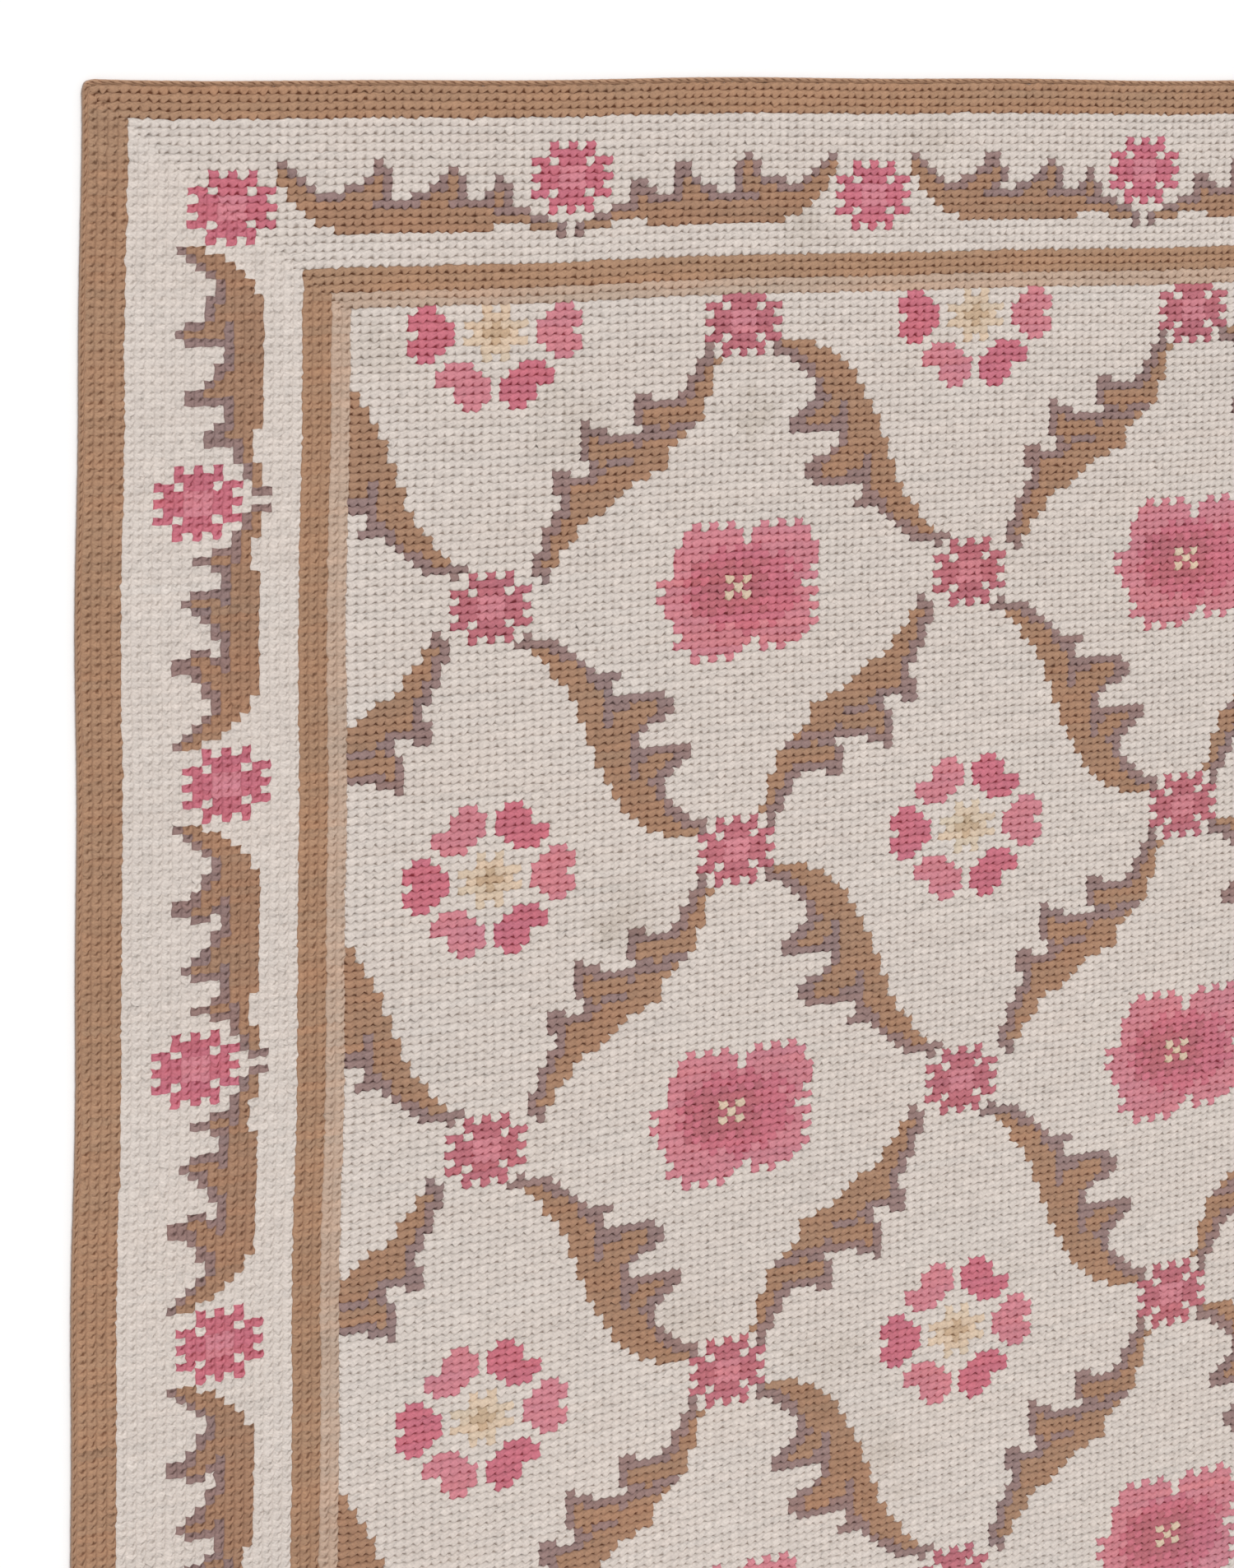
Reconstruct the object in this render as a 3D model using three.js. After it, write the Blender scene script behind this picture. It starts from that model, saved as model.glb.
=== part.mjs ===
// A flat rug of wool chain stitch on one canvas, its raw edges turned under and stitched over.
// Millimetres, +Z up: it lies on its back with +X across the width and +Y along the length.
import * as THREE from "three";

// What a stitcher counts and measures.
const COLUMNS = 311; // stitches across the width
const ROWS = 509; // rows of stitches down the length
const COLUMN_PITCH = 5.2; // width of one stitch
const ROW_PITCH = 4.377; // height of one row
const EDGE_SHARE = 0.5; // share of each outermost stitch that lies on top, before the turned edge
const THICKNESS = 4.8; // canvas and wool together
const EDGE_ROUND = 1.6; // rounding of the turned edge, above and below
const CORNER_CUT = 8; // how far the blunt corners stop short of a sharp corner

// Slanted stitches pull the cloth out of square: each direction leans, then eases straight.
const SIDE_LEAN = Math.tan((1.65 * Math.PI) / 180); // the long sides drift to -X going down
const END_LEAN = Math.tan((1.6 * Math.PI) / 180); // the short ends climb to +Y going right
const LEAN_STEADY = 0.44; // share of the length that leans steadily
const LEAN_OVER = 0.8; // share of the length after which nothing leans

// The edges wander by hand, as waves with a height, a length and a start, all in millimetres.
const SIDE_WAVES = [
  { height: 0.7, length: 420, start: 60 },
  { height: 0.4, length: 173, start: 20 },
];
const END_WAVES = [
  { height: 0.8, length: 510, start: 240 },
  { height: 0.4, length: 196, start: 90 },
];
const SIDE_STEPS = 48; // straight runs that draw a long side
const END_STEPS = 36; // straight runs that draw a short end

// Width of a row of count stitches, whose first and last go partly over the edge.
const rowWidth = (count, pitch) => pitch * (count - 2 * (1 - EDGE_SHARE));

// Steady up to LEAN_STEADY of the whole, then a parabola that has levelled off at LEAN_OVER.
function drift(distance, whole) {
  const t = Math.min(distance / whole, LEAN_OVER);
  const past = Math.max(t - LEAN_STEADY, 0);
  return whole * (t - (past * past) / (2 * (LEAN_OVER - LEAN_STEADY)));
}

const wander = (waves, at) =>
  waves.reduce((sum, w) => sum + w.height * Math.sin((2 * Math.PI * (at + w.start)) / w.length), 0);

const WIDTH = rowWidth(COLUMNS, COLUMN_PITCH);
const LENGTH = rowWidth(ROWS, ROW_PITCH);

// Where the point across, down on the squared pattern lies on the cloth.
function place(across, down) {
  const x = across - SIDE_LEAN * drift(down, LENGTH) + wander(SIDE_WAVES, down);
  const y = -down + END_LEAN * drift(across, WIDTH) + wander(END_WAVES, across);
  return new THREE.Vector2(x, y);
}

// Points in equal steps along one side, where pointAt gives the point at a share of the way.
function side(steps, pointAt) {
  return Array.from({ length: steps + 1 }, (_, i) => pointAt(i / steps));
}

// The outline, anticlockwise from the upper left, with a small curve across each corner.
function outline() {
  const alongSide = (t) => CORNER_CUT + t * (LENGTH - 2 * CORNER_CUT);
  const alongEnd = (t) => CORNER_CUT + t * (WIDTH - 2 * CORNER_CUT);
  const sides = [
    { corner: place(0, 0), points: side(SIDE_STEPS, (t) => place(0, alongSide(t))) },
    { corner: place(0, LENGTH), points: side(END_STEPS, (t) => place(alongEnd(t), LENGTH)) },
    { corner: place(WIDTH, LENGTH), points: side(SIDE_STEPS, (t) => place(WIDTH, alongSide(1 - t))) },
    { corner: place(WIDTH, 0), points: side(END_STEPS, (t) => place(alongEnd(1 - t), 0)) },
  ];
  const shape = new THREE.Shape();
  const start = sides[0].points[0];
  shape.moveTo(start.x, start.y);
  sides.forEach(({ points }, i) => {
    points.slice(1).forEach((p) => shape.lineTo(p.x, p.y));
    const next = sides[(i + 1) % sides.length];
    shape.quadraticCurveTo(next.corner.x, next.corner.y, next.points[0].x, next.points[0].y);
  });
  return shape;
}

// One solid, its faces level and its turned edge rounded, centred over its lowest face.
function rugGeometry() {
  const geometry = new THREE.ExtrudeGeometry(outline(), {
    depth: THICKNESS - 2 * EDGE_ROUND,
    curveSegments: 4,
    bevelEnabled: true,
    bevelThickness: EDGE_ROUND,
    bevelSize: EDGE_ROUND,
    bevelOffset: -EDGE_ROUND,
    bevelSegments: 2,
  });
  geometry.computeBoundingBox();
  const { min, max } = geometry.boundingBox;
  geometry.translate(-(min.x + max.x) / 2, -(min.y + max.y) / 2, -min.z);
  return geometry;
}

const wool = new THREE.MeshStandardMaterial({ color: 0xd9cfc6, roughness: 0.95, metalness: 0 });
const rug = new THREE.Mesh(rugGeometry(), wool);
rug.name = "rug";

const group = new THREE.Group();
group.add(rug);

export default group;
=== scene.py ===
import math

import bpy
import numpy as np
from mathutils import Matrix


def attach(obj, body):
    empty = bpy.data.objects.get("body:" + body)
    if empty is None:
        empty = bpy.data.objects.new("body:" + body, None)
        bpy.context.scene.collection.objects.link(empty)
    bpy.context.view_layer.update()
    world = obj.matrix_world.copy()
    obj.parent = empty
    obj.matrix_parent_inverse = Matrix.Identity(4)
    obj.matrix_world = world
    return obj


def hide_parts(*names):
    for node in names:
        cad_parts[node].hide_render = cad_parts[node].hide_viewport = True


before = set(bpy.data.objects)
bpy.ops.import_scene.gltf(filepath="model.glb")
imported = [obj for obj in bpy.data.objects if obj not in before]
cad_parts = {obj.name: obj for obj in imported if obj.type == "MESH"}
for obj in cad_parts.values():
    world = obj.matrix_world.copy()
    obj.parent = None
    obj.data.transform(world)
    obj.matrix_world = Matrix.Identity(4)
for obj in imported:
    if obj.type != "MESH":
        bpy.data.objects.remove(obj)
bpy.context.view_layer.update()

# The rug is one cotton canvas, and every stitch of the pattern lies in one square of its mesh.
# The stitcher counts the squares, so places on the rug are given as columns from the left and
# rows from the far end. The slant of the stitches has pulled the canvas a little out of square.
COLUMNS, ROWS = 311, 509
BORDER = 28  # rows of stitches in the border
PITCH_ACROSS, PITCH_DOWN = 0.0052, 0.004377  # one stitch
EDGE_SHARE = 0.5  # the outermost row goes over the turned edge, and only this share lies on top
SIDE_LEAN, END_LEAN = math.tan(math.radians(1.65)), math.tan(math.radians(1.6))
LEAN_STEADY, LEAN_OVER = 0.44, 0.8  # shares of the way where the lean starts to ease, and ends
SIDE_WAVES = ((0.0007, 0.420, 0.060), (0.0004, 0.173, 0.020))  # height, length and start of each
END_WAVES = ((0.0008, 0.510, 0.240), (0.0004, 0.196, 0.090))
CORNER_CUT = 0.008  # how far along each side a blunt corner reaches


def span(n, count, pitch):
    """The way to stitch n of count: n pitches, less what the first and last lose over the edge."""
    in_edge = np.minimum(n, 1) + np.maximum(n - (count - 1), 0)
    return pitch * (n - (1 - EDGE_SHARE) * in_edge)


WIDTH, LENGTH = span(COLUMNS, COLUMNS, PITCH_ACROSS), span(ROWS, ROWS, PITCH_DOWN)


def drift(distance, whole):
    """How far the lean has run: the distance itself, then a parabola that levels off."""
    t = np.minimum(distance / whole, LEAN_OVER)
    past = np.maximum(t - LEAN_STEADY, 0)
    return whole * (t - past**2 / (2 * (LEAN_OVER - LEAN_STEADY)))


def wander(waves, at):
    """The sum of the edge's sine waves at that distance."""
    return sum(height * np.sin(math.tau * (at + start) / length) for height, length, start in waves)


def on_squared(column, row):
    """Distances across and down on the squared pattern, the corners rounded off.
    Within CORNER_CUT of a corner a point moves in both ways by a quarter of the cut, less the
    square of its share of the cut that it is away."""
    across, down = span(column, COLUMNS, PITCH_ACROSS), span(row, ROWS, PITCH_DOWN)
    to_side, to_end = np.minimum(across, WIDTH - across), np.minimum(down, LENGTH - down)
    away = np.minimum(np.maximum(to_side, to_end) / CORNER_CUT, 1)
    pull = CORNER_CUT / 4 * (1 - away) ** 2
    return (
        across + pull * np.sign(WIDTH / 2 - across),
        down + pull * np.sign(LENGTH / 2 - down),
    )


def leaning(across, down):
    """A point of the squared pattern on the leaning cloth: each way drifts off by the other."""
    x = across - SIDE_LEAN * drift(down, LENGTH) + wander(SIDE_WAVES, down)
    y = -down + END_LEAN * drift(across, WIDTH) + wander(END_WAVES, across)
    return x, y


def outline_middle():
    """The middle of the box round the four edges, where the part has its origin."""
    column, row = np.arange(COLUMNS + 1.0), np.arange(ROWS + 1.0)
    sides = [leaning(*on_squared(c, row)) for c in (0.0, float(COLUMNS))]
    ends = [leaning(*on_squared(column, r)) for r in (0.0, float(ROWS))]
    x = np.concatenate([edge[0] for edge in sides + ends])
    y = np.concatenate([edge[1] for edge in sides + ends])
    return (x.min() + x.max()) / 2, (y.min() + y.max()) / 2


MIDDLE = outline_middle()


def place(column, row):
    """x and y on the rug of a point counted in columns and rows."""
    x, y = leaning(*on_squared(column, row))
    return x - MIDDLE[0], y - MIDDLE[1]


# The camera is 1.4 m above the floor, just left of the rug's upper left corner, and looks down,
# tilted to the right. The lens is a short telephoto one, shifted down to frame the field.
CAMERA_FROM_CORNER = (-0.2124, -0.1591, 1.3646)
CAMERA_TURN = (-2.52, -20.19, -0.79)  # degrees about X, Y and Z
LENS, SENSOR = 60.44, 36.0
SHIFT_UP = -0.1731

corner = [a - b for a, b in zip(leaning(0.0, 0.0), MIDDLE)]
camera = bpy.data.objects.new("camera", bpy.data.cameras.new("camera"))
camera.location = (
    corner[0] + CAMERA_FROM_CORNER[0],
    corner[1] + CAMERA_FROM_CORNER[1],
    CAMERA_FROM_CORNER[2],
)
camera.rotation_euler = [math.radians(turn) for turn in CAMERA_TURN]
camera.data.lens, camera.data.sensor_width = LENS, SENSOR
camera.data.shift_y = SHIFT_UP
bpy.context.scene.collection.objects.link(camera)
bpy.context.scene.camera = camera

# The stitcher's chart: one yarn for each square of the canvas. The border is five rows of brown,
# eighteen of cream, three of brown and two of beige, and the field inside it is cream.
YARNS = {
    "cream": (211, 200, 192),
    "brown": (171, 134, 107),
    "beige": (190, 164, 145),
    "leaf": (165, 128, 103),
    "edging": (147, 121, 117),
    "light rose": (202, 129, 139),
    "rose": (196, 111, 126),
    "deep rose": (184, 109, 119),
    "dusky rose": (181, 104, 114),
    "bright rose": (205, 130, 142),
    "pale yellow": (211, 189, 166),
    "tan": (193, 166, 138),
}
NAMES = list(YARNS)
BANDS = ((0, 5, "brown"), (5, 23, "cream"), (23, 26, "brown"), (26, 28, "beige"))

row_at, column_at = np.mgrid[0:ROWS, 0:COLUMNS]
from_end = np.minimum(row_at, ROWS - 1 - row_at)
from_side = np.minimum(column_at, COLUMNS - 1 - column_at)
depth = np.minimum(from_end, from_side)
chart = np.full((ROWS, COLUMNS), NAMES.index("cream"))
for first, past, yarn in BANDS:
    chart[(depth >= first) & (depth < past)] = NAMES.index(yarn)
field = depth >= BORDER


def put(motif, row, column):
    """Works a small chart into the field of the big one, its middle at row and column."""
    rows = row - motif.shape[0] // 2 + np.arange(motif.shape[0])
    columns = column - motif.shape[1] // 2 + np.arange(motif.shape[1])
    inside_r = (rows >= 0) & (rows < ROWS)
    inside_c = (columns >= 0) & (columns < COLUMNS)
    window = np.ix_(rows[inside_r], columns[inside_c])
    cut = motif[np.ix_(inside_r, inside_c)]
    chart[window] = np.where((cut >= 0) & field[window], cut, chart[window])


def from_rows(rows, **yarns):
    """A small chart written out, a letter for each yarn and a point where there is none."""
    codes = {letter: NAMES.index(yarn.replace("_", " ")) for letter, yarn in yarns.items()}
    return np.array([[codes.get(letter, -1) for letter in row] for row in rows])


# The rosettes, one at each crossing of the field's trellis and all along the border: nine
# stitches across, with three teeth to a side and a cream stitch let in at each corner.
ROSETTE_REACH = 4  # stitches from its middle to its edge
ROSETTE = (
    "..#.#.#..",
    "..#####..",
    "##.###.##",
    ".##ooo##.",
    "###ooo###",
    ".##ooo##.",
    "##.###.##",
    "..#####..",
    "..#.#.#..",
)
field_rosette = from_rows(ROSETTE, **{"#": "deep_rose", "o": "light_rose"})
border_rosette = from_rows(ROSETTE, **{"#": "rose", "o": "bright_rose"})


# The flowers inside the trellis are of two kinds. One has six petals round a pale star, notched
# at the outer end. The other is a big shaded bloom of round lobes with toothed edges.
STAR = ("..y.y..", "..yyy..", "yyytyyy", ".yttty.", "yyytyyy", "..yyy..", "..y.y..")
LEFT_PETAL = (".##..", "####.", "#####", ".####", "#####", "####.", ".##..")
LOWER_LEFT_PETAL = (".###..", "#####.", "######", "..####", "..####", "...##.")
FLOWER_REACH = 12  # stitches from a flower's middle to the edge of its small chart
SIDE_PETAL_AT, SLANT_PETAL_AT = (-3, -9), (4, -6)  # row and column where the left ones start


def flower_grid():
    """An empty small chart for a flower, with x to the right and y down from its middle."""
    reach = slice(-FLOWER_REACH, FLOWER_REACH + 1)
    y, x = np.mgrid[reach, reach].astype(float)
    return x, y, np.full(x.shape, -1)


def six_petals():
    """Two petals stand to the left and right and four aslant, light and dark by turns. Each is set
    in on the left or the lower left, in a chart turned over until that place is its own."""
    motif = flower_grid()[2]
    for yarn, side_turn, slant_turns in (
        ("rose", (1, 1), ((1, -1), (-1, -1))),
        ("light_rose", (1, -1), ((1, 1), (-1, 1))),
    ):
        side_petal, slant_petal = [
            from_rows(rows, **{"#": yarn}) for rows in (LEFT_PETAL, LOWER_LEFT_PETAL)
        ]
        for petal, (row, column), turns in (
            (side_petal, SIDE_PETAL_AT, (side_turn,)),
            (slant_petal, SLANT_PETAL_AT, slant_turns),
        ):
            row, column = row + FLOWER_REACH, column + FLOWER_REACH
            for down, right in turns:
                window = motif[::down, ::right]
                window[row:row + petal.shape[0], column:column + petal.shape[1]] = petal
    star = from_rows(STAR, y="pale_yellow", t="tan")
    first = FLOWER_REACH - len(star) // 2
    middle = motif[first:first + len(star), first:first + len(star)]
    middle[star >= 0] = star[star >= 0]
    return motif


BLOOM_LOBES = (  # x, y and size of each round lobe, in stitches from the middle
    (-3.0, -3.8, 4.6),
    (4.9, -3.9, 4.6),
    (4.9, 3.5, 4.5),
    (-2.6, 4.6, 4.6),
    (-6.0, 0.9, 3.5),
    (0.8, 0.3, 5.4),
)
TOOTH = 0.45  # every second stitch of the rim reaches this much further out, and the others less


def shaded_bloom():
    """A stitch belongs to the bloom where it is nearer than a lobe's size to that lobe's middle.
    Along a lobe's top and bottom every second column counts as nearer, and along its sides every
    second row, which cuts the rim into teeth. Inside lie an oval of a deeper shade, a block of a
    duller one and five pale stitches."""
    x, y, motif = flower_grid()
    for lobe_x, lobe_y, size in BLOOM_LOBES:
        dx, dy = np.abs(x - lobe_x), np.abs(y - lobe_y)
        second = np.where(np.abs(dx - dy) > 1, 2 * (np.where(dy > dx, x, y) % 2) - 1, 0)
        motif[np.hypot(dx, dy) < size + TOOTH * second] = NAMES.index("light rose")
    second = 1 - 2 * ((x + y) % 2)
    oval = np.hypot((x - 0.6) / 6.4, (y - 0.2) / 5.4) + 0.08 * second
    motif[(motif >= 0) & (oval < 1)] = NAMES.index("rose")
    block = np.maximum(np.abs(x + 0.8) / 3.8, np.abs(y) / 3.4) - 0.16 * second
    motif[block < 1] = NAMES.index("dusky rose")
    motif[(np.abs(x) == np.abs(y)) & (np.abs(x) < 2)] = NAMES.index("pale yellow")
    return motif


# The leaves make the trellis. Each is a long curved body with three hooked teeth on one side.
# The body is golden brown, and the toothed side has an edging of mauve grey.
def bezier(points, t):
    """The curve that a run of control points gives: each pass mixes neighbours by t."""
    points = np.array(points, float)[:, None, :]
    while len(points) > 1:
        points = points[:-1] * (1 - t) + points[1:] * t
    return points[0]


def stroke(x, y, controls):
    """How far each stitch is outside a brush stroke, on which side of its line it lies, and how
    far along. A control of the stroke's curve is its x and y and the stroke's half width there."""
    t = np.linspace(0, 1, 60)[:, None]
    line = bezier(controls, t)
    ahead = np.gradient(line, axis=0)
    dx, dy = x[..., None] - line[:, 0], y[..., None] - line[:, 1]
    outside = np.hypot(dx, dy) - line[:, 2]
    nearest = outside.argmin(-1)[..., None]
    turn = ahead[:, 0] * dy - ahead[:, 1] * dx
    outside, turn = [np.take_along_axis(each, nearest, -1)[..., 0] for each in (outside, turn)]
    return outside, turn, t[nearest[..., 0], 0]


def leaf(body, teeth, veins, toothed, edging, size):
    """The small chart of a leaf of strokes: its body, its teeth, and the veins from the notches.
    Edging yarn lies within edging of the outline on the toothed side, on the veins and both tips."""
    y, x = np.mgrid[0:size[0], 0:size[1]].astype(float)
    outside, turn, along = stroke(x, y, body)
    for tooth in teeth:
        outside = np.minimum(outside, stroke(x, y, tooth)[0])
    tips = (along < TIP) | (along > 1 - TIP)
    grey = (turn * toothed > 0) & (outside > -edging) | tips
    for vein in veins:
        grey |= stroke(x, y, vein)[0] < 0
    leaf_or_edging = np.where(grey, NAMES.index("edging"), NAMES.index("leaf"))
    return np.where(outside < 0, leaf_or_edging, -1)


EDGING, BORDER_EDGING = 1.25, 0.95  # stitches from the outline that are grey
TIP = 0.02  # share of the body's line at each end that is grey
VEIN = 0.55  # half width of a vein
STEP = (34, 28)  # rows and columns from one crossing of the trellis to the next below it
BESIDE = (STEP[0] + 1, STEP[1] + 1)  # a chart from one crossing to the next, both included
SLIM_LEAF = leaf(
    body=((24.2, 3.1, 0.7), (23.9, 15.5, 3.0), (6.0, 20.0, 2.6), (5.8, 30.4, 0.95)),
    teeth=(
        ((21.0, 11.8, 2.2), (16.6, 12.6, 2.8), (16.2, 8.9, 0.6)),
        ((17.0, 16.5, 2.6), (10.8, 16.9, 3.4), (10.4, 12.3, 0.6)),
        ((12.0, 20.8, 2.0), (8.0, 21.0, 2.3), (7.6, 18.1, 0.6)),
    ),
    veins=(((18.0, 13.7, VEIN), (22.0, 13.2, VEIN)), ((12.0, 17.6, VEIN), (15.4, 16.7, VEIN))),
    toothed=1,
    edging=EDGING,
    size=BESIDE,
)
FULL_LEAF = leaf(
    body=((4.3, 3.5, 0.7), (15.0, 4.0, 4.0), (12.5, 24.5, 2.8), (24.2, 29.3, 0.9)),
    teeth=(
        ((11.0, 11.2, 2.8), (8.6, 13.0, 2.1), (5.9, 13.7, 0.5)),
        ((13.8, 17.6, 3.0), (11.4, 19.4, 2.7), (8.1, 20.0, 0.9)),
        ((17.2, 22.2, 1.8), (16.0, 23.7, 1.3), (14.0, 23.9, 0.5)),
    ),
    veins=(((11.7, 13.8, VEIN), (11.7, 10.6, VEIN)), ((14.7, 20.5, VEIN), (14.7, 17.6, VEIN))),
    toothed=1,
    edging=EDGING,
    size=BESIDE,
)

# The trellis: a slim and a full leaf run down from every second crossing, one to each side, and
# the same two turned half round run down from the others. A flower stands in each opening.
FIRST_CROSSING = (31, 43)  # row and column
petals, bloom = six_petals(), shaded_bloom()
for i in range(-1, 10):
    for j in range(15):
        row, column = FIRST_CROSSING[0] + STEP[0] * j, FIRST_CROSSING[1] + STEP[1] * i
        if (i + j) % 2 == 0:
            put(bloom if i % 2 else petals, row, column)
            continue
        put(field_rosette, row, column)
        turned = 1 if i % 2 else -1
        put(SLIM_LEAF[::turned, ::turned], row + STEP[0] // 2, column - STEP[1] // 2)
        put(FULL_LEAF[::turned, ::turned], row + STEP[0] // 2, column + STEP[1] // 2)

# The border's rosettes stand by turns further in and further out, with a leaf between each two.
# A leaf runs from beside the inner rosette to below the outer one, with its teeth outwards.
ROSETTES_ACROSS = (15, 51, 86, 120, 155, 190, 224, 259, 295)
ROSETTES_DOWN = (15, *range(50, 459, 34), 493)
ROSETTE_DEPTHS = (15, 12)
USUAL_GAP = 36  # between the rosettes of the leaf drawn below, which others stretch
LEAF_STARTS, LEAF_STOPS = 5, 1  # stitches from the inner and from the outer rosette's middle


def border_leaf(gap):
    """A leaf between rosettes that far apart, as a small chart of the border's depth."""
    def at(across, down, half):
        return (across - LEAF_STARTS) * gap / USUAL_GAP, ROSETTE_DEPTHS[0] + down, half
    return leaf(
        body=(
            at(5.3, -4.9, 0.6),
            at(7.4, 3.2, 2.6),
            at(17.5, 3.7, 3.0),
            at(28.5, -1.3, 1.3),
            at(35.0, 3.6, 0.6),
        ),
        teeth=(
            (at(12.5, -0.6, 2.0), at(16.3, -1.4, 2.1), at(15.0, -5.0, 0.55)),
            (at(20.2, 0.4, 2.0), at(23.5, -0.9, 2.0), at(23.0, -4.2, 0.55)),
            (at(26.2, 1.0, 1.6), at(28.9, -0.1, 1.9), at(28.1, -2.5, 0.6)),
        ),
        veins=((at(15.4, 0.1, VEIN), at(19.0, 0.1, VEIN)), (at(23.2, 0.1, VEIN), at(27.0, 0.1, VEIN))),
        toothed=-1,
        edging=BORDER_EDGING,
        size=(BORDER, gap - LEAF_STARTS - LEAF_STOPS + 1),
    )


def work_border(grid, centres):
    """Works one side's rosettes and leaves into a view of the chart with the outer edge on top."""
    for k, at in enumerate(centres):
        down = ROSETTE_DEPTHS[k % 2]
        first, past = -ROSETTE_REACH, ROSETTE_REACH + 1
        window = grid[down + first:down + past, at + first:at + past]
        window[border_rosette >= 0] = border_rosette[border_rosette >= 0]
        if k + 1 == len(centres):
            return
        shape = border_leaf(centres[k + 1] - at)
        start = at + LEAF_STARTS
        if k % 2:
            shape = shape[:, ::-1]
            start = at + LEAF_STOPS
        window = grid[:BORDER, start:start + shape.shape[1]]
        window[shape >= 0] = shape[shape >= 0]


for grid, centres in (
    (chart, ROSETTES_ACROSS),
    (chart[::-1], ROSETTES_ACROSS),
    (chart.T, ROSETTES_DOWN),
    (chart[:, ::-1].T, ROSETTES_DOWN),
):
    work_border(grid, centres)

# The yarn is dyed in small lots, so its shade drifts along the rows, and hand washing has left a
# few faint stains. Each stitch has its own colour, and its own share of both.
STAINS = (  # column, row, reach in stitches, strength
    (72, 43, 3.4, 0.34),
    (51, 42, 5.0, 0.20),
    (31, 32, 4.0, 0.20),
    (58, 106, 3.4, 0.36),
    (78, 18, 3.2, 0.28),
    (93, 8, 3.6, 0.18),
    (66, 160, 3.2, 0.20),
    (90, 182, 4.2, 0.26),
    (83, 169, 5.0, 0.16),
)
STAIN_TINT = np.array((0.62, 0.58, 0.50))
random = np.random.default_rng(27)


def linear(rgb):
    """sRGB out of 255 as linear light, by the usual power with its straight foot."""
    c = np.array(rgb) / 255
    return np.where(c <= 0.04045, c / 12.92, ((c + 0.055) / 1.055) ** 2.4)


def mottle(row_step, column_step):
    """Smooth noise about 0: random values on a coarse grid, mixed in between both ways."""
    coarse = random.normal(size=(ROWS // row_step + 2, COLUMNS // column_step + 2))
    rows, columns = np.arange(ROWS) / row_step, np.arange(COLUMNS) / column_step
    r, c = rows.astype(int), columns.astype(int)
    fr, fc = (rows - r)[:, None], columns - c
    upper = coarse[np.ix_(r, c)] * (1 - fc) + coarse[np.ix_(r, c + 1)] * fc
    lower = coarse[np.ix_(r + 1, c)] * (1 - fc) + coarse[np.ix_(r + 1, c + 1)] * fc
    return upper * (1 - fr) + lower * fr


palette = np.array([linear(rgb) for rgb in YARNS.values()])
dyed = np.array([0.2 if name == "cream" else 1.0 for name in NAMES])[chart]
shade = 1 + 0.022 * random.normal(size=chart.shape)
shade += dyed * (0.02 * mottle(1, 12) + 0.015 * mottle(9, 9)) + 0.008 * mottle(30, 30)
warmth = dyed * (0.016 * mottle(1, 8) + 0.014 * mottle(7, 7))
yarn_colour = palette[chart] * shade[..., None] * (1 + warmth[..., None] * np.array((1, -0.2, -1)))
for column, row, reach, strength in STAINS:
    away = np.hypot(column_at - column, (row_at - row) * 0.84) / reach
    share = strength * np.clip(1.2 - away + 0.35 * mottle(2, 2), 0, 1)
    yarn_colour *= 1 - share[..., None] * (1 - STAIN_TINT)
yarn_colour = np.clip(yarn_colour, 0, 1)

# The wool face: rows of long stitches over the canvas, each row a rope with a hole of the canvas
# at every stitch. Rows run across the field and the border's ends, and along the border's sides,
# where they meet in a mitre. A usual ridge is 4.4 mm above the floor, and the fullest 5.5 mm.
CANVAS_TOP = 0.0012
HOLE, VALLEY, RIDGE = 0.0023, 0.0031, 0.0044
UNEVEN = 0.00013  # how far hand tension moves the yarn
SCALLOP = 0.16  # a stitch's middle hangs this share of a row below its ends

lengthwise = (from_side < BORDER) & (from_side < from_end)  # rows that run along the sides
corner_at = np.mgrid[0:ROWS + 1, 0:COLUMNS + 1].astype(float)
flat_at = np.mgrid[0:ROWS + 1, 0:COLUMNS].astype(float)  # middles of the upper and lower edges
upright_at = np.mgrid[0:ROWS, 0:COLUMNS + 1].astype(float)  # middles of the side edges
flat_at[1] += 0.5
upright_at[0] += 0.5
hang = np.zeros(flat_at[0].shape)
hang[1:-1][~(lengthwise[1:] | lengthwise[:-1])] = SCALLOP

tension = 1 + 0.05 * mottle(1, 9)  # how full each stitch is
flat_z = np.full(flat_at[0].shape, VALLEY)
both = lengthwise[1:] & lengthwise[:-1]
flat_z[1:-1][both] = (RIDGE * (tension[1:] + tension[:-1]) / 2)[both]
upright_z = np.full(upright_at[0].shape, VALLEY)
both = ~lengthwise[:, 1:] & ~lengthwise[:, :-1]
upright_z[:, 1:-1][both] = (RIDGE * (tension[:, 1:] + tension[:, :-1]) / 2)[both]
corner_z = np.full(corner_at[0].shape, HOLE)

counted = np.concatenate([grid.reshape(2, -1) for grid in (corner_at, flat_at, upright_at)], 1)
height = np.concatenate([z.ravel() for z in (corner_z, flat_z, upright_z)])
height += UNEVEN * random.normal(size=height.size)
counted_down = counted[0].copy()
counted_down[corner_z.size:corner_z.size + hang.size] += hang.ravel()
x, y = place(counted[1], counted_down)
points = np.stack([x, y, height], 1)
points[:, :2] += 2.6 * UNEVEN * random.normal(size=(len(points), 2))

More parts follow.
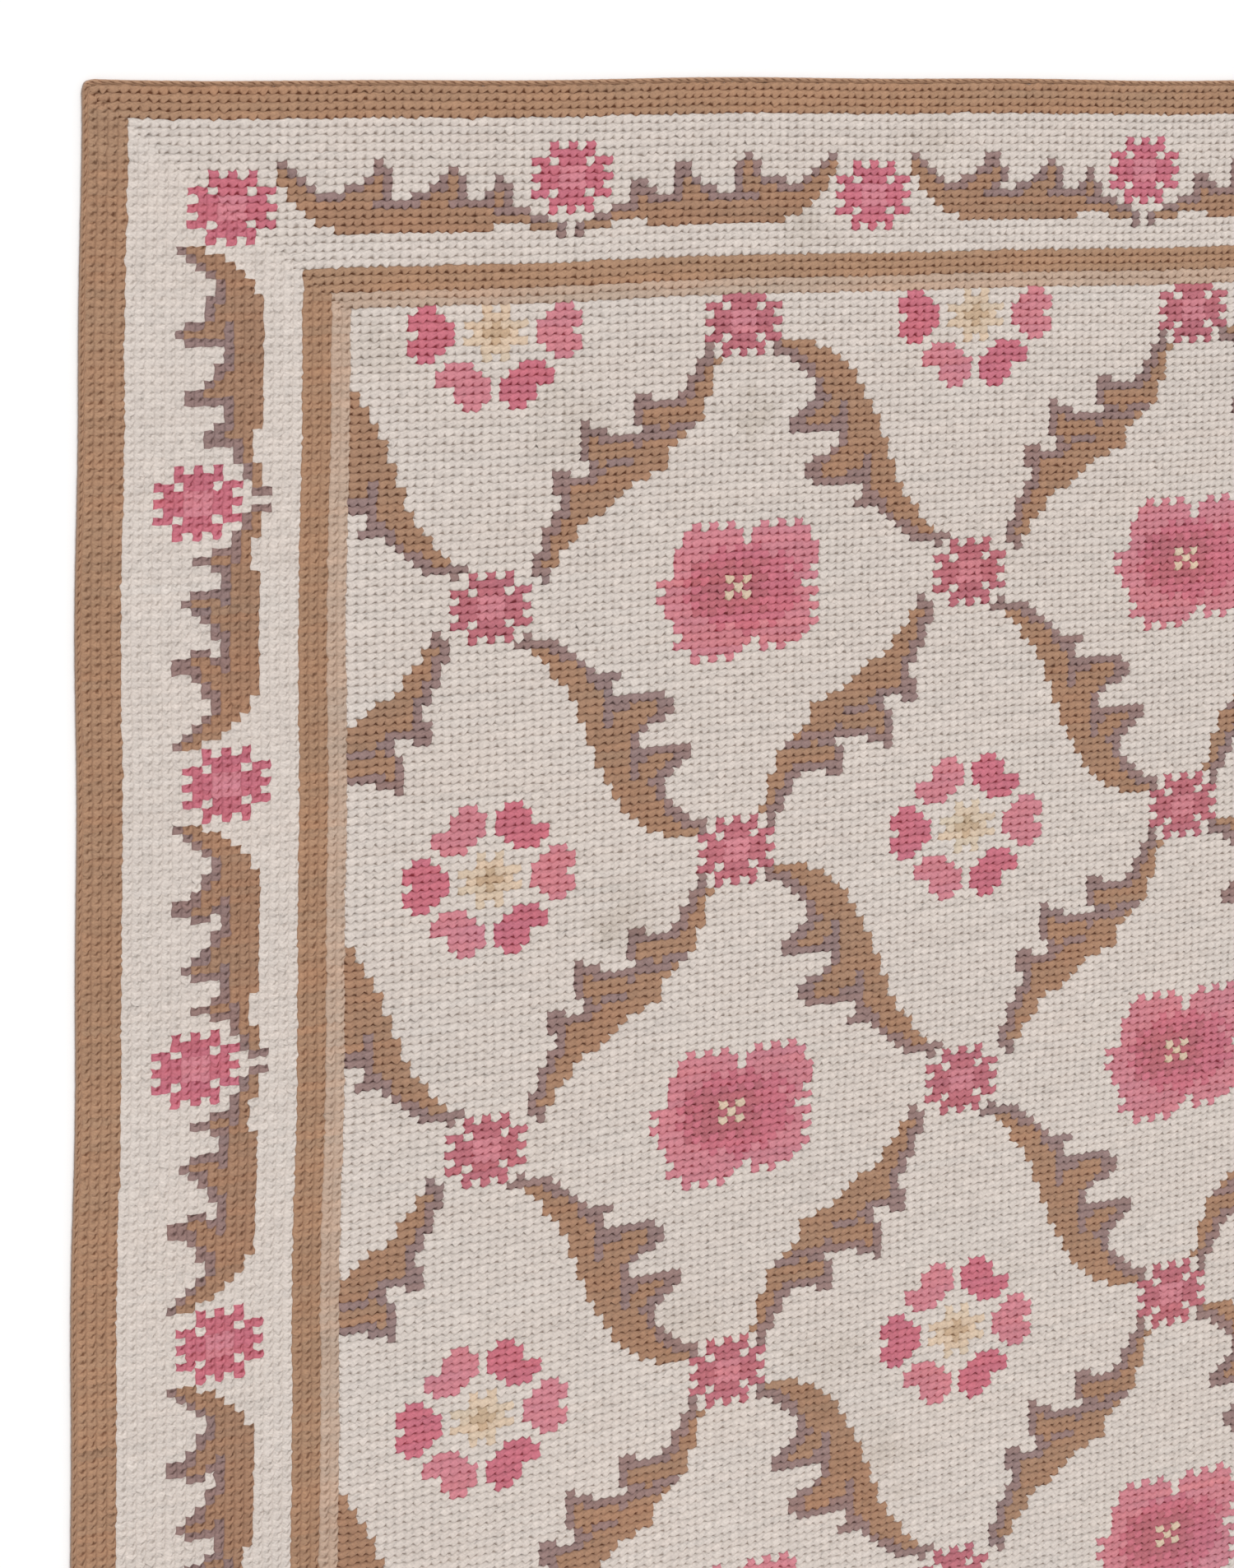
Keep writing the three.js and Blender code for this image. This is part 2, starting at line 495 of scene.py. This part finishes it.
corners = np.arange((ROWS + 1) * (COLUMNS + 1)).reshape(ROWS + 1, COLUMNS + 1)
flats = corners.size + np.arange((ROWS + 1) * COLUMNS).reshape(ROWS + 1, COLUMNS)
uprights = corners.size + flats.size + np.arange(ROWS * (COLUMNS + 1)).reshape(ROWS, COLUMNS + 1)
ring = {
    "TL": corners[:-1, :-1], "TR": corners[:-1, 1:], "BL": corners[1:, :-1], "BR": corners[1:, 1:],
    "T": flats[:-1], "B": flats[1:], "L": uprights[:, :-1], "R": uprights[:, 1:],
}
ACROSS = ("TL L T", "T L R", "T R TR", "L BL B", "L B R", "R B BR")
ALONG = ("T TL L", "T L B", "L BL B", "T R TR", "T B R", "B BR R")


def six_triangles(words):
    """The triangles of every stitch, from the names of its eight points, as rows, columns, 6, 3."""
    return np.stack([np.stack([ring[name] for name in w.split()], -1) for w in words], 2)


triangles = np.where(lengthwise[..., None, None], six_triangles(ALONG), six_triangles(ACROSS))


def point_normals():
    """At each point, the sum of the normals of its triangles, at length one. The pieces that the
    face is cut into share them, so that no seam shows."""
    a, b, c = triangles.reshape(-1, 3).T
    facing = np.cross(points[b] - points[a], points[c] - points[a])
    total = np.stack(
        [sum(np.bincount(i, axis, len(points)) for i in (a, b, c)) for axis in facing.T], 1
    )
    return total / np.linalg.norm(total, axis=1)[:, None]


normals = point_normals()


class Socket:
    """A socket among a material's nodes. Arithmetic on it adds Math nodes."""

    def __init__(self, tree, socket=None):
        self.tree, self.socket = tree, socket

    def node(self, kind, settings=None, inputs=None, output=0):
        """Adds a node, makes its settings, fills its inputs with values or links, gives an output."""
        node = self.tree.nodes.new("ShaderNode" + kind)
        for name, value in (settings or {}).items():
            setattr(node, name, value)
        for key, value in (inputs or {}).items():
            if isinstance(value, Socket):
                self.tree.links.new(value.socket, node.inputs[key])
            else:
                node.inputs[key].default_value = value
        return Socket(self.tree, node.outputs[output])

    def math(self, operation, *terms):
        return self.node("Math", {"operation": operation}, dict(enumerate(terms)))

    def __add__(self, other):
        return self.math("ADD", self, other)

    def __sub__(self, other):
        return self.math("SUBTRACT", self, other)

    def __rsub__(self, other):
        return self.math("SUBTRACT", other, self)

    def __mul__(self, other):
        return self.math("MULTIPLY", self, other)

    __radd__, __rmul__ = __add__, __mul__


def finished(name, colour, roughness, normal, sheen):
    """A new material of one Principled shader with those links and a fixed sheen."""
    material = bpy.data.materials.new(name)
    material.use_nodes = True
    tree = material.node_tree
    shader = tree.nodes["Principled BSDF"]
    for key, value in {"Base Color": colour, "Roughness": roughness, "Normal": normal}.items():
        made = value(Socket(tree))
        tree.links.new(made.socket, shader.inputs[key])
    shader.inputs["Sheen Weight"].default_value = sheen
    shader.inputs["Sheen Roughness"].default_value = 0.5
    shader.inputs["Specular IOR Level"].default_value = 0.2
    return material


def lap(value):
    """How far a count of stitches is past a whole one, from 0 to 1."""
    return value.math("FRACT", value)


def near_line(value):
    """Distance from the nearest whole number, from 0 to 0.5."""
    return value.math("ABSOLUTE", lap(value + 0.5) - 0.5)


def ramp(value, low, high):
    """0 up to low, 1 from high, and smooth between."""
    settings = {"interpolation_type": "SMOOTHSTEP"}
    return value.node("MapRange", settings, {"Value": value, "From Min": low, "From Max": high})


# Two-ply carpet wool, dyed and unbleached. Each stitch is a plump bundle of strands that narrows to
# a notch beside the next one. The colour has painted shade: the notches, the lines between rows,
# the lower part of each row and the strands' creases are darkened towards the yarn's own colour, as
# light thrown back by the same yarn would be.
LEAN, MORE_LEAN = 0.34, 0.18  # squares that a notch leans by over a row, and more along the sides
NOTCH_MIDDLE = 0.35  # share of a side's row where its notches are deepest
STRAND_RUN = 1.7  # squares that a strand slants over while it crosses its row
PLY_TURNS = 2.6  # turns of the ply in one square


def fibre(start, scale):
    """Fine noise in the yarn, about 0.5, on the piece's own coordinates."""
    spot = start.node("TexCoord", output="Object")
    inputs = {"Vector": spot, "Scale": scale, "Detail": 2.0, "Roughness": 0.6}
    return start.node("TexNoise", inputs=inputs)


def stitch_map(start):
    """Squares along the row, the share of the row's height above its lower line, the distance
    from the notch between two stitches, along the row and out of its reach, and whether the row
    runs along a side. A side's rows are seen the other way, with the notches midway across."""
    uv = start.node("UVMap", {"uv_map": "stitch"})
    sideways = start.node("Attribute", {"attribute_name": "sideways"}, output="Fac")
    along, across = [uv.node("SeparateXYZ", inputs={"Vector": uv}, output=axis) for axis in "XY"]
    above = lap(across)
    uneven = 0.8 * fibre(start, 210.0) - 0.4
    beside = near_line(along - (LEAN + sideways * MORE_LEAN) * above + uneven)
    midway = start.math("ABSOLUTE", above - NOTCH_MIDDLE)
    reach = above + sideways * (midway - above)
    return along, above, beside, reach, sideways


def wool_colour(start):
    along, above, beside, reach, sideways = stitch_map(start)
    # Painted shade: dark at the notches, along the lines between rows, over the lower part of each row
    # and in the strands' creases, deeper on dark yarns.
    notch = (1 - ramp(reach + beside * 1.6, 0.05, 0.6)) * (0.5 + fibre(start, 170.0))
    line = (1 - ramp(near_line(above), 0.0, 0.2)) * (0.24 - 0.04 * sideways)
    low = (1 - ramp(above, 0.0, 0.6)) * (0.12 - 0.12 * sideways)
    crease = (1 - ramp(near_line(along - STRAND_RUN * above), 0.0, 0.16)) * 0.06
    yarn = start.node("Attribute", {"attribute_name": "yarn"}, output="Color")
    green = start.node("SeparateColor", inputs={"Color": yarn}, output="Green")
    deep = (notch * (0.95 - 0.3 * sideways) + line + low + crease) * (1.34 - 0.7 * green)
    light = 0.81 + 0.42 * fibre(start, 600.0)
    lit = start.node("VectorMath", {"operation": "SCALE"}, {0: yarn, "Scale": light})
    # Where the painted shade falls, the colour is multiplied by a share of the yarn's own colour.
    painted_shade_colour = start.node("VectorMath", {"operation": "SCALE"}, {0: yarn, "Scale": 0.6})
    mix = {"data_type": "RGBA", "blend_type": "MULTIPLY"}
    # Rows along the sides get a little more painted shade on dark yarns, and a little less on pale
    # ones.
    shade = start.math("MINIMUM", deep + sideways * (0.1 - 0.3 * green), 1.0)
    return start.node("Mix", mix, {0: shade, 6: lit, 7: painted_shade_colour}, output=2)


def wool_roughness(start):
    return 0.84 + 0.14 * fibre(start, 500.0)


def wool_bump(start):
    along, above, beside, reach, sideways = stitch_map(start)
    stitch = ramp(beside, 0.0, 0.36) * (1 - reach * (0.9 + sideways)) * (1 - 0.3 * sideways)
    strand = start.math("SQRT", near_line(along - STRAND_RUN * above) * 2)
    ply = near_line(PLY_TURNS * along + 1.5 * above)
    raised = stitch * 0.7 + strand * 0.2 + ply * 0.2 + fibre(start, 1800.0) * 0.3
    return start.node("Bump", inputs={"Strength": 0.7, "Distance": 0.0009, "Height": raised})


wool = finished("wool_yarn", wool_colour, wool_roughness, wool_bump, sheen=0.15)


def new_piece(name, vertices, loops, sizes, material, yarn, stitch, smooth, sideways):
    """A mesh from its points, its corners' indexes, how many corners each face has, the colour of
    each face, the place of each corner on the map of stitches, and which faces are smooth and
    which lie in rows that run along the sides."""
    mesh = bpy.data.meshes.new(name)
    mesh.vertices.add(len(vertices))
    mesh.vertices.foreach_set("co", vertices.astype(np.float32).ravel())
    mesh.loops.add(len(loops))
    mesh.loops.foreach_set("vertex_index", loops.astype(np.int32))
    mesh.polygons.add(len(sizes))
    starts = np.concatenate([[0], np.cumsum(sizes)[:-1]])
    mesh.polygons.foreach_set("loop_start", starts.astype(np.int32))
    mesh.update(calc_edges=True)
    mesh.polygons.foreach_set("use_smooth", smooth)
    colour = mesh.attributes.new("yarn", "FLOAT_COLOR", "FACE")
    with_alpha = np.concatenate([yarn, np.ones((len(yarn), 1))], 1)
    colour.data.foreach_set("color", with_alpha.astype(np.float32).ravel())
    mesh.attributes.new("sideways", "FLOAT", "FACE").data.foreach_set("value", sideways)
    layer = mesh.uv_layers.new(name="stitch")
    layer.data.foreach_set("uv", stitch.astype(np.float32).ravel())
    mesh.materials.append(material)
    mesh.validate()
    piece = bpy.data.objects.new(name, mesh)
    bpy.context.scene.collection.objects.link(piece)
    return piece


EVERY = 16  # points of a panel's rim to each point below it


def woven(ends, middles):
    """The ends and middles of a line of edges in turn, without the very last end."""
    return np.stack([ends[:-1], middles], 1).ravel()


def rim(r0, r1, c0, c1):
    """The indexes of a panel's rim, anticlockwise from its upper left: edges' ends and middles."""
    left = woven(corners[r0:r1 + 1, c0], uprights[r0:r1, c0])
    bottom = woven(corners[r1, c0:c1 + 1], flats[r1, c0:c1])
    right = woven(corners[r0:r1 + 1, c1][::-1], uprights[r0:r1, c1][::-1])
    top = woven(corners[r0, c0:c1 + 1][::-1], flats[r0, c0:c1][::-1])
    return [left, bottom, right, top]


def panel(name, r0, r1, c0, c1):
    """The wool of rows r0 to r1 and columns c0 to c1, closed below by a flat back on the canvas.
    The back has a point below every sixteenth point of the rim, and one many-sided face."""
    faces = triangles[r0:r1, c0:c1].reshape(-1, 3)
    run = lengthwise[r0:r1, c0:c1].repeat(6)  # one for each triangle
    used = np.unique(faces)
    sides = rim(r0, r1, c0, c1)
    loop = np.concatenate(sides)
    number = np.searchsorted(used, loop)
    firsts = np.cumsum([0] + [len(s) for s in sides[:-1]])
    feet = np.concatenate([first + np.arange(0, len(s), EVERY) for first, s in zip(firsts, sides)])
    back = points[loop[feet]].copy()
    back[:, 2] = CANVAS_TOP
    walls, sizes = [], []
    for k, (first, last) in enumerate(zip(feet, [*feet[1:], len(loop)])):
        above = number[np.arange(first, last + 1) % len(loop)]
        below = [len(used) + k, len(used) + (k + 1) % len(feet)]
        walls += [below[0], below[1], *above[::-1]]
        sizes.append(len(above) + 2)
    under = len(used) + np.arange(len(feet))[::-1]
    all_loops = np.concatenate([np.searchsorted(used, faces).ravel(), walls, under])
    all_sizes = np.concatenate([np.full(len(faces), 3), sizes, [len(under)]])
    on_face = counted[:, used].T
    place_of = np.concatenate([on_face, counted[:, loop[feet]].T])
    at = place_of[all_loops]
    turned = np.concatenate([run.repeat(3), np.zeros(len(all_loops) - 3 * len(faces), bool)])
    stitch = np.where(
        turned[:, None], np.stack([at[:, 0], -at[:, 1]], 1), np.stack([at[:, 1], -at[:, 0]], 1)
    )
    yarn = np.concatenate([
        yarn_colour[r0:r1, c0:c1].reshape(-1, 3).repeat(6, 0),
        np.tile(yarn_colour[r0:r1, c0:c1].mean((0, 1)), (len(sizes) + 1, 1)),
    ])
    made = new_piece(
        name, np.concatenate([points[used], back]), all_loops, all_sizes, wool, yarn, stitch,
        smooth=np.arange(len(all_sizes)) < len(faces),
        sideways=np.concatenate([run, np.zeros(len(sizes) + 1)]).astype(np.float32),
    )
    shared = np.zeros((len(all_loops), 3))
    shared[:3 * len(faces)] = normals[faces.ravel()]
    made.data.normals_split_custom_set(shared.tolist())
    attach(made, "root")
    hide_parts("rug")


FIELD_PARTS = 4  # the field is worked in strips of rows from the far end to the near one
EDGE_ROW = 1  # the outermost row is worked over the turned edge, and is a piece of its own
panel("border_far_end", EDGE_ROW, BORDER, EDGE_ROW, COLUMNS - EDGE_ROW)
panel("border_near_end", ROWS - BORDER, ROWS - EDGE_ROW, EDGE_ROW, COLUMNS - EDGE_ROW)
panel("border_left", BORDER, ROWS - BORDER, EDGE_ROW, BORDER)
panel("border_right", BORDER, ROWS - BORDER, COLUMNS - BORDER, COLUMNS - EDGE_ROW)
cuts = np.linspace(BORDER, ROWS - BORDER, FIELD_PARTS + 1).round().astype(int)
for k in range(FIELD_PARTS):
    panel(f"field_{k + 1}", int(cuts[k]), int(cuts[k + 1]), BORDER, COLUMNS - BORDER)

# The edge: canvas turned under all round, and the outermost row of brown wool worked over the
# fold, so that it rounds the edge from the face down to the floor.
SECTION = np.array([  # outwards from the row's middle in half widths, and up in metres
    (1.1, 0.0014), (0.25, 0.0040), (-1.0, 0.0035), (-1.8, 0.0031), (-0.9, 0.0),
])
PINCH = 0.93  # the roll is this much thinner between two stitches
SLANT = 0.15  # stitches that one leans by from the inner side to the outer one


def edge_roll():
    """The section carried round the middle line of the outermost row, two stations to a stitch.
    Between stitches it is pinched, and each stitch leans along the edge by its place outwards."""
    rows, columns = np.arange(0.5, ROWS - 0.5, 0.5), np.arange(0.5, COLUMNS - 0.5, 0.5)
    line_row = np.concatenate([
        rows, np.full(len(columns), ROWS - 0.5), ROWS - rows, np.full(len(columns), 0.5),
    ])
    line_column = np.concatenate([
        np.full(len(rows), 0.5), columns, np.full(len(rows), COLUMNS - 0.5), COLUMNS - columns,
    ])
    line = np.stack(place(line_column, line_row), 1)
    ahead = np.roll(line, -2, 0) - np.roll(line, 2, 0)
    ahead /= np.linalg.norm(ahead, axis=1)[:, None]
    out = np.stack([ahead[:, 1], -ahead[:, 0]], 1)
    count = len(line)
    full = np.where(np.arange(count) % 2, 1.0, PINCH) * (1 + 0.03 * random.normal(size=count))
    half = EDGE_SHARE / 2 * (PITCH_ACROSS * np.abs(out[:, 0]) + PITCH_DOWN * np.abs(out[:, 1]))
    offset = SECTION[:, 0] * (half * full)[:, None]
    lean = SLANT * PITCH_ACROSS * SECTION[:, 0]
    flat = line[:, None] + offset[..., None] * out[:, None] + lean[:, None] * ahead[:, None]
    up = SECTION[:, 1] * (0.5 + 0.5 * full[:, None])
    return np.concatenate([flat, up[..., None]], 2)


roll = edge_roll()
stations, around = roll.shape[:2]
station, side = np.mgrid[0:stations, 0:around]
index = np.arange(stations * around).reshape(stations, around)
after, beyond = np.roll(index, -1, 0), np.roll(index, -1, 1)
quads = np.stack([index, after, np.roll(after, -1, 1), beyond], -1).reshape(-1, 4)
along = np.stack([station, station + 1, station + 1, station], -1).reshape(-1) / 2
across = -0.5 * np.stack([side, side, side + 1, side + 1], -1).reshape(-1)
brown = linear(YARNS["brown"]) * (1 + 0.03 * random.normal(size=(stations, 1)))
edge = new_piece(
    "turned_edge", roll.reshape(-1, 3), quads.ravel(), np.full(len(quads), 4), wool,
    brown.repeat(around, 0), np.stack([along, across], 1), smooth=np.ones(len(quads), bool),
    sideways=np.ones(len(quads), np.float32),
)
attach(edge, "root")
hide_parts("rug")

# The ground: a plain cotton canvas, its raw edges turned under as a hem along all four sides.
HEM = 0.025
RAW_EDGE = 0.0008  # the step of the hem's raw edge runs over this much
CLOTH = 0.0006  # one layer of canvas
INSET = 0.0022  # the fold lies this far inside the outermost yarn
EVEN_LINES = 34  # between the hems
THREADS = 4  # to a stitch


def canvas_lines(length):
    """Lines across the canvas: the fold, both sides of the raw edge, and even ones between."""
    near = np.array([INSET, HEM, HEM + RAW_EDGE])
    even = np.linspace(near[-1], length - near[-1], EVEN_LINES)[1:-1]
    return np.concatenate([near, even, length - near[::-1]])


def canvas_sheet():
    """Two grids over the same lines, joined round the rim: the face is level, and the back is on
    the floor under the hem and one layer up elsewhere."""
    down, across = np.meshgrid(canvas_lines(LENGTH), canvas_lines(WIDTH), indexing="ij")
    x, y = leaning(across, down)
    inner = np.minimum(np.minimum(down, LENGTH - down), np.minimum(across, WIDTH - across)) > HEM
    back = np.where(inner, CLOTH, 0.0)
    face = np.full(x.shape, CANVAS_TOP)
    flat = np.stack([x - MIDDLE[0], y - MIDDLE[1]], -1)
    sheets = [np.concatenate([flat, z[..., None]], -1).reshape(-1, 3) for z in (face, back)]
    index = np.arange(x.size).reshape(x.shape)
    cells = np.stack([index[:-1, :-1], index[1:, :-1], index[1:, 1:], index[:-1, 1:]], -1)
    cells = cells.reshape(-1, 4)
    loop = np.concatenate([index[:-1, 0], index[-1, :-1], index[:0:-1, -1], index[0, :0:-1]])
    ahead = np.roll(loop, -1)
    rim_faces = np.stack([loop, loop + x.size, ahead + x.size, ahead], -1)
    return np.concatenate(sheets), np.concatenate([cells, cells[:, ::-1] + x.size, rim_faces])


def from_gaps(start):
    """Distance from the nearest gap between two threads, across and down, in threads."""
    spot = start.node("TexCoord", output="Object")
    x, y = [start.node("SeparateXYZ", inputs={"Vector": spot}, output=axis) for axis in "XY"]
    return near_line(x * (THREADS / PITCH_ACROSS)), near_line(y * (THREADS / PITCH_DOWN))


def canvas_colour(start):
    across, down = from_gaps(start)
    # Painted shade: the gaps between threads are dark brown, the threads pale.
    thread = ramp(across * down, 0.0, 0.2)
    colours = {0: thread, 6: (0.36, 0.29, 0.20, 1), 7: (0.62, 0.54, 0.42, 1)}
    return start.node("Mix", {"data_type": "RGBA"}, colours, output=2)


def canvas_bump(start):
    across, down = from_gaps(start)
    weave = across + down
    return start.node("Bump", inputs={"Strength": 0.6, "Distance": 0.0003, "Height": weave})


canvas_cloth = finished("canvas_cotton", canvas_colour, wool_roughness, canvas_bump, sheen=0.05)
vertices, cells = canvas_sheet()
canvas = new_piece(
    "canvas", vertices, cells.ravel(), np.full(len(cells), 4), canvas_cloth,
    np.full((len(cells), 3), 0.5), np.zeros((cells.size, 2)), smooth=np.zeros(len(cells), bool),
    sideways=np.zeros(len(cells), np.float32),
)
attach(canvas, "root")
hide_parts("rug")

# A plain pale floor and soft studio light: a bright room, and one wide lamp beyond the far end.
FLOOR_HALF = 30.0
LAMP_TURN = (-42.0, 8.0, 0.0)  # degrees, from straight down
LAMP_STRENGTH, LAMP_WIDTH = 2.1, 38.0
ROOM_LIGHT = 0.62

floor_corners = np.array([(-1, -1, 0), (1, -1, 0), (1, 1, 0), (-1, 1, 0)]) * FLOOR_HALF
floor_mesh = bpy.data.meshes.new("floor")
floor_mesh.from_pydata(floor_corners.tolist(), [], [(0, 1, 2, 3)])
floor = bpy.data.objects.new("floor", floor_mesh)
bpy.context.scene.collection.objects.link(floor)
paper = bpy.data.materials.new("floor_paper")
paper.use_nodes = True
paper.node_tree.nodes["Principled BSDF"].inputs["Base Color"].default_value = (0.93, 0.93, 0.93, 1)
paper.node_tree.nodes["Principled BSDF"].inputs["Roughness"].default_value = 0.9
floor_mesh.materials.append(paper)

lamp = bpy.data.objects.new("lamp", bpy.data.lights.new("lamp", "SUN"))
lamp.data.energy, lamp.data.angle = LAMP_STRENGTH, math.radians(LAMP_WIDTH)
lamp.rotation_euler = [math.radians(turn) for turn in LAMP_TURN]
bpy.context.scene.collection.objects.link(lamp)
world = bpy.data.worlds.new("room")
world.use_nodes = True
world.node_tree.nodes["Background"].inputs["Color"].default_value = (1, 1, 1, 1)
world.node_tree.nodes["Background"].inputs["Strength"].default_value = ROOM_LIGHT
bpy.context.scene.world = world
bpy.context.scene.view_settings.view_transform = "Standard"
